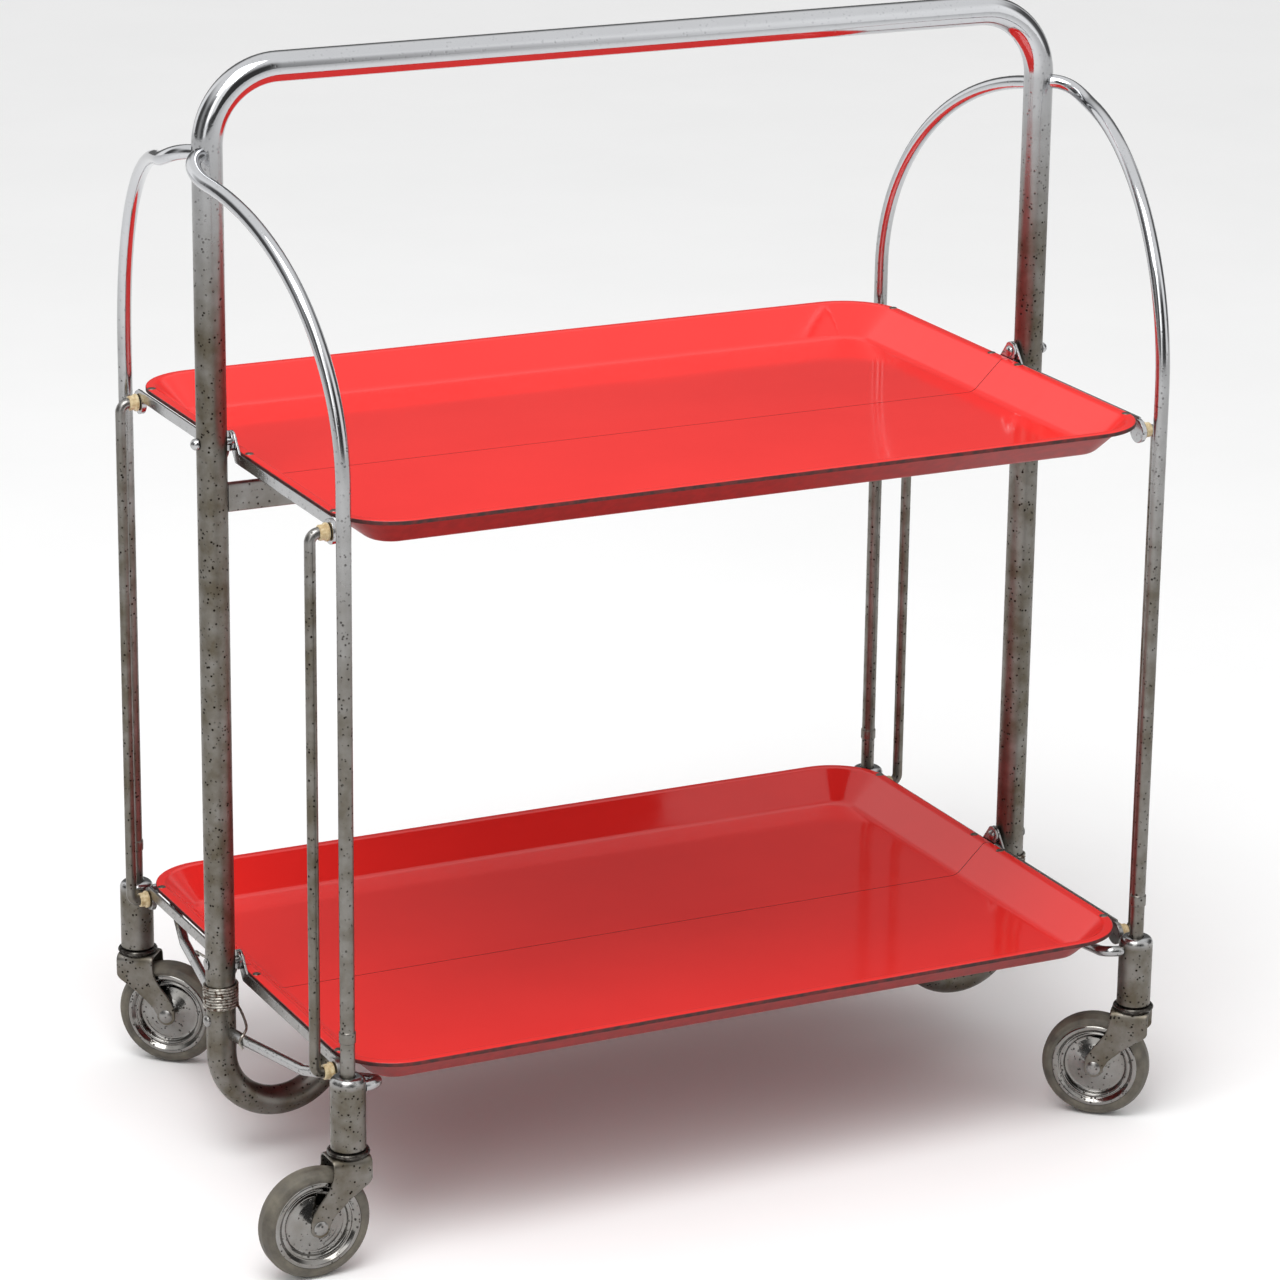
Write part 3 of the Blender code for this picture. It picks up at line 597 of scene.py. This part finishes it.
for level in ("upper", "lower"):
    rim_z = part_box(f"{level}_tray_front")[1].z
    for corner, (side_x, side_y) in CORNERS.items():
        half = corner.split("_")[0]
        rail_node = f"{level}_rail_{corner}"
        faces_out = OUTER_LEAF if corner in OUTER_LEAF_CORNERS else INNER_LEAF
        outs = np.concatenate([-LEAF_R * np.cos(np.linspace(0.12, math.pi * 0.72, 18)),
                               np.linspace(0.0065, EAR_OUT, 24)])
        leaf_low, leaf_high = disc_edges(outs, 0.0, rim_z + PIVOT_ABOVE_RIM, LEAF_R)
        strip_low = rim_z - STRIP_DROPS[1] * np.clip(outs / 0.006, 0, 1)
        leaf_low = np.where(outs > 0.0, np.minimum(leaf_low, strip_low), leaf_low)
        leaf_high = np.where(outs > 0.004, np.maximum(leaf_high, rim_z - STRIP_DROPS[0]), leaf_high)
        leaf_high = np.where(outs > LEAF_R * 0.95, rim_z - STRIP_DROPS[0], leaf_high)
        ear_outs = EAR_OUT - EAR_R * np.cos(np.linspace(0.08, math.pi - 0.08, 26))
        ear_low, ear_high = disc_edges(ear_outs, EAR_OUT, rim_z - EAR_DROP, EAR_R)
        rail = add_piece(
            f"side_rail_{level}_{corner}",
            gather([blanked_plate(outs, leaf_low, leaf_high, *faces_out, side_x, side_y),
                    blanked_plate(ear_outs, ear_low, ear_high, *EAR_FACES, side_x, side_y)]),
            bright_plating, f"{level}_half_{half}")
        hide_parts(rail_node)

# Hinge bolts and brace bolts: a chromed steel bolt with a dome head at each end runs through each upright,
# and both halves of a tray turn on it. A smaller round head holds the brace low on each upright.
BOLT_R = 0.0029
BOLT_HEAD_R = 0.0042
INNER_HEAD_H = 0.0024
LOWER_HEAD_H = 0.0012
BRACE_BOLT_R = 0.0044
BRACE_BOLT_H = 0.0030
BRACE_BOLT_Z = 0.1062
for level in ("upper", "lower"):
    for side, side_x in SIDES.items():
        bolt_node = f"{level}_hinge_bolt_{side}"
        low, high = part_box(bolt_node)
        inner, outer = sorted((abs(low.x), abs(high.x)))
        head_at = UPRIGHT_X + TUBE_R + 0.0001
        length = head_at - inner
        stand = outer - head_at if level == "upper" else LOWER_HEAD_H
        inner_head = dome_profile(BOLT_HEAD_R, INNER_HEAD_H, 0.0)[2:] * (1, -1) - (0, length)
        outer_head = dome_profile(BOLT_HEAD_R, stand, 0.0)[2:]
        profile = np.concatenate([inner_head[::-1], [(BOLT_R, -length), (BOLT_R, 0.0)], outer_head])
        head_place = (side_x * head_at, 0, (low.z + high.z) / 2)
        bolt = add_piece(f"dome_bolt_{level}_{side}", turned_shape(profile, 28, head_place, (side_x, 0, 0)),
                         bright_plating, "centre_frame")
        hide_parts(bolt_node)
for side, side_x in SIDES.items():
    add_piece(f"brace_bolt_{side}",
              turned_shape(dome_profile(BRACE_BOLT_R, BRACE_BOLT_H, -0.0012), 20,
                           (side_x * (UPRIGHT_X + TUBE_R - 0.0004), 0, BRACE_BOLT_Z), (side_x, 0, 0)),
              bright_plating, "centre_frame")

# Link rods: a plain steel rod with both ends turned in to the ears, so that the lower tray folds with
# the upper one. Each end turns in a cream moulded bush, yellowed with age.
LINK_R = 0.0038
LINK_X = 0.317
LINK_BEND_R = 0.006
BUSH_BORE_R = 0.0030
BUSH_R = 0.0052
BUSH_FLANGE_R = 0.0062
rod_plating = worn_plating("rod_plating", 0.46, 0.62, 1.0)
bush_plastic, bush_shader, bush_place = principled("bush_plastic", (0.55, 0.43, 0.24), 0.0, 0.42)
bush_stain = remap(bush_plastic, noise_of(bush_plastic, bush_place, 260.0), 0.35, 0.65)
join_sockets(bush_plastic, colour_between(bush_plastic, bush_stain, (0.66, 0.55, 0.34), (0.40, 0.28, 0.13)),
             bush_shader.inputs["Base Color"])
add_bump(bush_plastic, bush_shader, bush_stain, 0.0002, 0.3)
for corner, (side_x, side_y) in CORNERS.items():
    low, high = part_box("link_rod_" + corner)
    end_x = side_x * min(abs(low.x), abs(high.x))
    bottom_z = low.z + LINK_R
    top_z = high.z - LINK_R
    link_y = side_y * EAR_OUT
    rod_x = side_x * LINK_X
    route = rounded_route([(end_x, link_y, top_z), (rod_x, link_y, top_z), (rod_x, link_y, bottom_z),
                           (end_x, link_y, bottom_z)], [LINK_BEND_R, LINK_BEND_R], 10)
    link = add_piece("link_" + corner, skin(carried_section(route, LINK_R, LINK_R, 20, (0, 1, 0))),
                     rod_plating, "link_" + corner)
    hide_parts("link_rod_" + corner)
    bush_profile = rounded_route([(BUSH_BORE_R, 0.0003, 0), (BUSH_FLANGE_R, 0.0003, 0),
                                  (BUSH_FLANGE_R, 0.0022, 0), (BUSH_R, 0.0030, 0), (BUSH_R, 0.0068, 0),
                                  (BUSH_BORE_R, 0.0068, 0)],
                                 [0.0005, 0.0004, 0.0004, 0.0008], 4)[:, :2]
    add_piece("bushes_" + corner,
              gather([turned_shape(bush_profile, 22, (end_x, link_y, level_z), (side_x, 0, 0))
                      for level_z in (top_z, bottom_z)]),
              bush_plastic, "link_" + corner)

# Arched legs: a chromed rod that leaves its slot high on the upright, bends over in a quarter of an
# ellipse and drops straight to a castor socket, with a pressed collar just above it.
LEG_R = 0.0050
ARCH_CENTRE = np.array([-0.022, 0.019, 0.540])
ARCH_RISE = 0.169
ARCH_START = 0.1444
SLOT_POINT = (-0.0063, 0.0054, 0.7180)
KNEE_POINT = (-0.0190, 0.0155, 0.7185)
KNEE_PULL = 0.105
COLLAR_Z = (0.1712, 0.1702, 0.1698, 0.1690, 0.1630, 0.1622, 0.1618, 0.1608)
COLLAR_R = (LEG_R, LEG_R, 0.0055, 0.0057, 0.0057, 0.0055, LEG_R, LEG_R)
leg_plating = worn_plating("leg_plating", 0.40, 0.62, 0.95)


def corner_place(side_x, side_y, route):
    """Rows of (inboard from the upright, out from the middle plane, height) as places in the room."""
    route = np.asarray(route, float)
    return np.stack([side_x * (UPRIGHT_X - route[:, 0]), side_y * route[:, 1], route[:, 2]], axis=1)


for corner, (side_x, side_y) in CORNERS.items():
    socket_low, socket_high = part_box("socket_" + corner)
    leg_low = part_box("arched_leg_" + corner)[0]
    leg_out = abs(socket_low.y + socket_high.y) / 2
    leg_inboard = UPRIGHT_X - abs(socket_low.x + socket_high.x) / 2
    # Arch point = centre + reach * cosine outwards + rise * sine upwards. The shoulder before it is a
    # cubic curve from the slot, pulled by the knee point and by the arch's own direction.
    start_sweep = math.acos(ARCH_START)
    sweep = np.linspace(start_sweep, 0, 30)[:, None]
    reach = np.array([leg_inboard, leg_out]) - ARCH_CENTRE[:2]
    arch = ARCH_CENTRE + np.concatenate([reach * np.cos(sweep), ARCH_RISE * np.sin(sweep)], axis=1)
    arch_way = np.append(reach, -ARCH_RISE * ARCH_START / math.sin(start_sweep))
    pulls = np.array([SLOT_POINT, KNEE_POINT, arch[0] - KNEE_PULL * arch_way, arch[0]])
    share = np.linspace(0, 1, 24)[:-1, None]
    shoulder = ((1 - share) ** 3 * pulls[0] + 3 * (1 - share) ** 2 * share * pulls[1]
                + 3 * (1 - share) * share**2 * pulls[2] + share**3 * pulls[3])
    shoulder = np.concatenate([shoulder, arch])
    below_z = np.append(COLLAR_Z, leg_low.z)
    below = np.stack([np.full(len(below_z), leg_inboard), np.full(len(below_z), leg_out), below_z], axis=1)
    route = corner_place(side_x, side_y, np.concatenate([shoulder, below]))
    girth = np.concatenate([np.full(len(shoulder), LEG_R), COLLAR_R, [LEG_R]])
    square_to = (0.65 * side_x, -0.76 * side_y, 0)
    leg = add_piece("leg_" + corner, skin(carried_section(route, girth, girth, 20, square_to)), leg_plating,
                    "centre_frame")
    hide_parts("arched_leg_" + corner)

# Castor sockets: a turned steel cup round the foot of each leg, chromed and badly pitted, with a
# rounded shoulder that stays bright where the tray's edge has rubbed it.
SOCKET_MOUTH_R = LEG_R + 0.0002
SOCKET_MOUTH_DEPTH = 0.012
socket_plating = worn_plating("socket_plating", 0.131, 0.142, 1.0)
for corner in CORNERS:
    low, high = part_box("socket_" + corner)
    cup_r = (high.x - low.x) / 2
    cup_h = high.z - low.z
    profile = rounded_route([(0.0002, 0, 0), (cup_r, 0, 0), (cup_r, cup_h, 0), (SOCKET_MOUTH_R, cup_h, 0),
                             (SOCKET_MOUTH_R, cup_h - SOCKET_MOUTH_DEPTH, 0)],
                            [0.0012, 0.0048, 0.0010], 9)[:, :2]
    cup_foot = ((low.x + high.x) / 2, (low.y + high.y) / 2, low.z)
    socket = add_piece("socket_cup_" + corner, turned_shape(profile, 36, cup_foot, (0, 0, 1)),
                       socket_plating, "centre_frame")
    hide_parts("socket_" + corner)

# Braces: a steel rod welded into the side of each socket, bent in under the tray to the foot of the
# upright and flattened there. The front pair meets the tube a little lower than the back pair.
BRACE_R = 0.0038
BRACE_OUT = 0.199
BRACE_FOOT_Z = {"front": 0.098, "back": 0.110}
FLAT_FROM = 0.032
FLAT_RUN = 0.014
brace_plating = worn_plating("brace_plating", 0.02, 0.40, 0.62)
for corner, (side_x, side_y) in CORNERS.items():
    foot_z = BRACE_FOOT_Z[corner.split("_")[0]]
    bends = corner_place(side_x, side_y, [(0.0240, BRACE_OUT, 0.1290), (0.0380, BRACE_OUT, 0.1300),
                                          (0.0160, 0.112, foot_z + 0.010), (0.0031, 0.0090, foot_z)])
    route = rounded_route(bends, [0.009, 0.025], 12)
    last_run = route[-2] + (route[-1] - route[-2]) * np.linspace(0, 1, 16)[1:, None]
    route = np.concatenate([route[:-1], last_run])
    flat = np.clip((FLAT_FROM - np.abs(route[:, 1])) / FLAT_RUN, 0, 1)
    section = carried_section(route, BRACE_R - 0.0016 * flat, BRACE_R + 0.0013 * flat, 20, (0, 0, 1))
    brace = add_piece("brace_rod_" + corner, skin(section), brace_plating, "centre_frame")
    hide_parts("brace_" + corner)

# Torsion springs: hard steel wire wound round the foot of each upright. One arm hooks over the front
# brace close by, and the long arm runs back and hooks over the back brace.
WIRE_R = 0.00095
COIL_TURNS = 8
COIL_CLEARANCE = 0.0003
spring_steel, spring_shader, spring_place = principled("spring_wire", (0.30, 0.28, 0.25), 1.0, 0.35)
spring_rust = remap(spring_steel, noise_of(spring_steel, spring_place, 330.0), 0.45, 0.62)
join_sockets(spring_steel, colour_between(spring_steel, spring_rust, (0.42, 0.40, 0.36), (0.10, 0.06, 0.04)),
             spring_shader.inputs["Base Color"])
join_sockets(spring_steel, remap(spring_steel, spring_rust, 0.0, 1.0, 0.28, 0.75),
             spring_shader.inputs["Roughness"])


def corners_cut(route, times):
    """Each pass replaces a corner by the points a quarter and three quarters along its two legs."""
    for _ in range(times):
        near = 0.75 * route[:-1] + 0.25 * route[1:]
        far = 0.25 * route[:-1] + 0.75 * route[1:]
        pairs = np.stack([near, far], axis=1).reshape(-1, route.shape[1])
        route = np.concatenate([route[:1], pairs, route[-1:]])
    return route


for side, side_x in SIDES.items():
    low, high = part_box("spring_" + side)
    # Coil point = coil radius * (cosine, sine) of the turn, while the height rises evenly.
    coil_r = TUBE_R + WIRE_R + COIL_CLEARANCE
    turn = np.linspace(0, COIL_TURNS * 2 * math.pi, COIL_TURNS * 24)
    coil = np.stack([coil_r * np.cos(turn), coil_r * np.sin(turn),
                     low.z + WIRE_R + (high.z - low.z - 2 * WIRE_R) * turn / turn[-1]], axis=1)
    front_arm = corners_cut(np.array([(0.0035, -0.0320, 0.0950), (0.0002, -0.0315, 0.1000),
                                      (0.0057, -0.0300, 0.1058), (0.0100, -0.0240, 0.1072),
                                      (coil_r, -0.0100, 0.1125), (coil_r, 0.0, coil[0, 2])]), 3)
    back_arm = corners_cut(np.array([(coil_r, 0.0, coil[-1, 2]), (coil_r, 0.0100, coil[-1, 2]),
                                     (0.0128, 0.0500, 0.1290), (0.0134, 0.0870, 0.1236),
                                     (0.0188, 0.0890, 0.1195), (0.0150, 0.0905, 0.1125)]), 3)
    route = np.concatenate([front_arm[:-1], coil, back_arm[1:]])
    route = np.stack([side_x * (UPRIGHT_X - route[:, 0]), route[:, 1], route[:, 2]], axis=1)
    spring = add_piece("torsion_spring_" + side, skin(carried_section(route, WIRE_R, WIRE_R, 10, (0, 0, 1))),
                       spring_steel, "centre_frame")
    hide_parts("spring_" + side)

# Castors: a yoke pressed from one strip of steel swings under a dark swivel cup. The wheel is two
# dished chromed discs with stamped rings that grip a solid rubber tyre, on a riveted axle.
YOKE_HALF_SHEET = 0.00105
YOKE_HALF_WIDTH = 0.01145
YOKE_TOP = 0.0825
YOKE_EAR_R = 0.0070
AXLE_Z = 0.0385
LEADING_EDGE = ((0.0385, 0.0450, 0.0550, 0.0620, 0.0640, 0.0660, 0.0680, 0.0826),
                (0.0182, 0.0145, 0.0035, -0.0066, -0.0096, -0.0116, -0.0124, -0.0125))
TRAILING_EDGE = ((0.0385, 0.0430, 0.0480, 0.0540, 0.0600, 0.0660, 0.0700, 0.0740, 0.0826),
                 (0.0318, 0.0316, 0.0300, 0.0262, 0.0214, 0.0176, 0.0160, 0.0152, 0.0150))
DISC_FACE = ((0.0034, 0.0052, 0.0064, 0.0090, 0.0120, 0.0160, 0.0200, 0.0216, 0.0226, 0.0240, 0.0254,
              0.0262, 0.0280, 0.0298, 0.0306),
             (0.0097, 0.0096, 0.0089, 0.0074, 0.0060, 0.0045, 0.0034, 0.0038, 0.0058, 0.0066, 0.0060,
              0.0070, 0.0088, 0.0088, 0.0082))
TYRE_HALF = ((0.0272, 0.0070), (0.0300, 0.0080), (0.0330, 0.0090), (0.0362, 0.0078))
AXLE_HALF = ((0.0028, 0.0127), (0.0050, 0.0128), (0.0040, 0.0136), (0.0022, 0.0141), (0.0002, 0.0142))
yoke_plating = worn_plating("yoke_plating", 0.10, 0.35, 1.0)
disc_plating = worn_plating("disc_plating", 0.10, 0.30, 0.80, 0.17)
tyre_rubber, tyre_shader, tyre_place = principled("tyre_rubber", (0.05, 0.045, 0.04), 0.0, 0.62)
tyre_dust = remap(tyre_rubber, noise_of(tyre_rubber, tyre_place, 90.0, 5.0), 0.35, 0.70)
tyre_colour = colour_between(tyre_rubber, tyre_dust, (0.060, 0.052, 0.040), (0.150, 0.135, 0.105))
join_sockets(tyre_rubber, tyre_colour, tyre_shader.inputs["Base Color"])
tyre_dullness = remap(tyre_rubber, tyre_dust, 0.0, 1.0, 0.45, 0.85)
join_sockets(tyre_rubber, tyre_dullness, tyre_shader.inputs["Roughness"])
add_bump(tyre_rubber, tyre_shader, noise_of(tyre_rubber, tyre_place, 500.0, 3.0), 0.0002, 0.4)
cup_steel, cup_shader, cup_place = principled("cup_steel", (0.05, 0.045, 0.04), 1.0, 0.32)
cup_grime = remap(cup_steel, noise_of(cup_steel, cup_place, 240.0), 0.40, 0.62)
join_sockets(cup_steel, colour_between(cup_steel, cup_grime, (0.10, 0.095, 0.085), (0.025, 0.02, 0.018)),
             cup_shader.inputs["Base Color"])
join_sockets(cup_steel, remap(cup_steel, cup_grime, 0.0, 1.0, 0.22, 0.6), cup_shader.inputs["Roughness"])
for corner in CORNERS:
    socket_low, socket_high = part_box("socket_" + corner)
    tyre_low, tyre_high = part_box("tyre_" + corner)
    foot = np.array([(socket_low.x + socket_high.x) / 2, (socket_low.y + socket_high.y) / 2, 0.0])
    hub = (np.array(tyre_low) + np.array(tyre_high)) / 2
    wheel_r = hub[2] - tyre_low.z
    trail = hub - foot
    trail[2] = 0.0
    back_way = trail / np.linalg.norm(trail)
    side_way = np.array([-back_way[1], back_way[0], 0.0])

    # Yoke point = strap place + spread * c backwards + half the sheet * s square to the strap, where c
    # and s are a squared-off cosine and sine and the spread runs between the two edge curves.
    cheek_foot = wheel_r - 0.0069
    strap = rounded_route([(-YOKE_HALF_WIDTH, cheek_foot, 0), (-YOKE_HALF_WIDTH, YOKE_TOP, 0),
                           (YOKE_HALF_WIDTH, YOKE_TOP, 0), (YOKE_HALF_WIDTH, cheek_foot, 0)],
                          [0.0045, 0.0045], 9)
    cheek = np.linspace(0, 1, 34)[:, None]
    strap = np.concatenate([strap[:1] + (strap[1] - strap[0]) * cheek[:-1], strap[1:-1],
                            strap[-2] + (strap[-1] - strap[-2]) * cheek[1:]])
    height = strap[:, 1]
    leading = np.interp(height, *LEADING_EDGE)
    trailing = np.interp(height, *TRAILING_EDGE)
    middle = (leading + trailing) / 2
    ear_spread = np.sqrt(np.clip(YOKE_EAR_R**2 - (height - AXLE_Z) ** 2, 0.0005**2, None))
    spread = np.where(height < AXLE_Z, ear_spread, (trailing - leading) / 2)
    way = np.gradient(strap[:, :2], axis=0)
    way /= np.linalg.norm(way, axis=1, keepdims=True)
    normal = np.stack([-way[:, 1], way[:, 0]], axis=1)
    turn = np.linspace(0, 2 * math.pi, 28, endpoint=False)
    cosine = squared_off(np.cos(turn), 0.25)
    sine = squared_off(np.sin(turn), 0.5)
    along = middle[:, None] + spread[:, None] * cosine[None]
    across = strap[:, 0][:, None] + normal[:, 0][:, None] * YOKE_HALF_SHEET * sine[None]
    level_z = strap[:, 1][:, None] + normal[:, 1][:, None] * YOKE_HALF_SHEET * sine[None]
    rows = (foot + along[..., None] * back_way + across[..., None] * side_way
            + level_z[..., None] * np.array([0.0, 0.0, 1.0]))
    yoke = add_piece("yoke_" + corner, skin(rows), yoke_plating, "castor_" + corner)
    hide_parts("fork_" + corner)
    cup_top = socket_low.z - 0.0003
    cup_profile = rounded_route([(0.0002, 0.0820, 0), (0.0122, 0.0820, 0), (0.0150, 0.0852, 0),
                                 (0.0136, cup_top, 0), (0.0002, cup_top, 0)],
                                [0.0010, 0.0014, 0.0006], 5)[:, :2]
    add_piece("swivel_cup_" + corner, turned_shape(cup_profile, 30, foot, (0, 0, 1)), cup_steel,
              "castor_" + corner)

    axle_profile = [(radius, -way_out) for radius, way_out in reversed(AXLE_HALF)] + list(AXLE_HALF)
    axle = add_piece("axle_rivet_" + corner, turned_shape(axle_profile, 24, hub, side_way), bright_plating,
                     "castor_" + corner)
    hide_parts("axle_" + corner)

    near_half = [(radius, -way_out, 0) for radius, way_out in TYRE_HALF]
    far_half = [(radius, way_out, 0) for radius, way_out in reversed(TYRE_HALF)]
    half_bends = [0.0006, 0.0008, 0.0014, 0.0020, 0.0028]
    tyre_profile = rounded_route([(0.0275, 0.0, 0), *near_half, (wheel_r, -0.0034, 0), (wheel_r, 0.0034, 0),
                                  *far_half, (0.0275, 0.0001, 0)], half_bends + half_bends[::-1], 6)[:, :2]
    tyre = add_piece("tyre_ring_" + corner, turned_shape(tyre_profile, 72, hub, side_way, wrap=True),
                     tyre_rubber, "wheel_" + corner, 60.0)
    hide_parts("tyre_" + corner)
    radius = np.linspace(DISC_FACE[0][0], DISC_FACE[0][-1], 82)
    face = np.interp(radius, *DISC_FACE)
    disc_profile = np.concatenate([np.stack([radius, -face], axis=1),
                                   np.stack([radius[::-1], face[::-1]], axis=1)])
    disc = add_piece("disc_" + corner, turned_shape(disc_profile, 72, hub, side_way, wrap=True),
                     disc_plating, "wheel_" + corner, 50.0)
    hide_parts("wheel_disc_" + corner)
